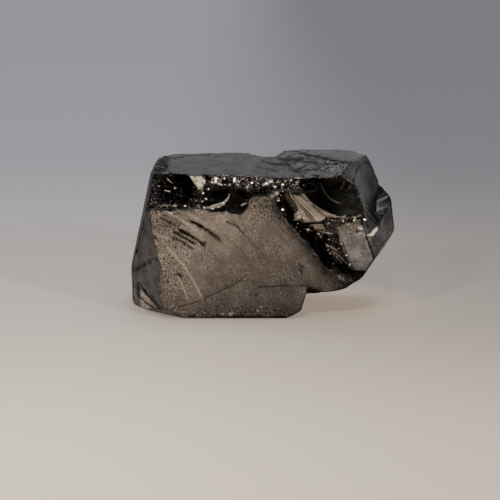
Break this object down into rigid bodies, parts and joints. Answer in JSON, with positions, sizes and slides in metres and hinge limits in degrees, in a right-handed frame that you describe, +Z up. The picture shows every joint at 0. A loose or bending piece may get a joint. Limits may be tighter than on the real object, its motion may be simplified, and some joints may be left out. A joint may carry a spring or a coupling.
{
  "type": "elite shungite stone",
  "caption": "Small broken lump of glassy near-black shungite with flat breaks, curved shell-like hollows and a flat base to rest on.",
  "frame": {"origin": "centre of the bounding box in plan, on the surface the stone lies on", "axes": "+X along the stone's length to the right of its large flat front, +Y from the front to the back, +Z up"},
  "size_m": [0.045, 0.02, 0.0258],
  "materials": {
    "shungite": "glassy black stone with a dull metallic brown-grey bloom on its old faces and glossy fresh breaks"
  },
  "bodies": {
    "root": {"shungite": "shungite"}
  },
  "joints": []
}
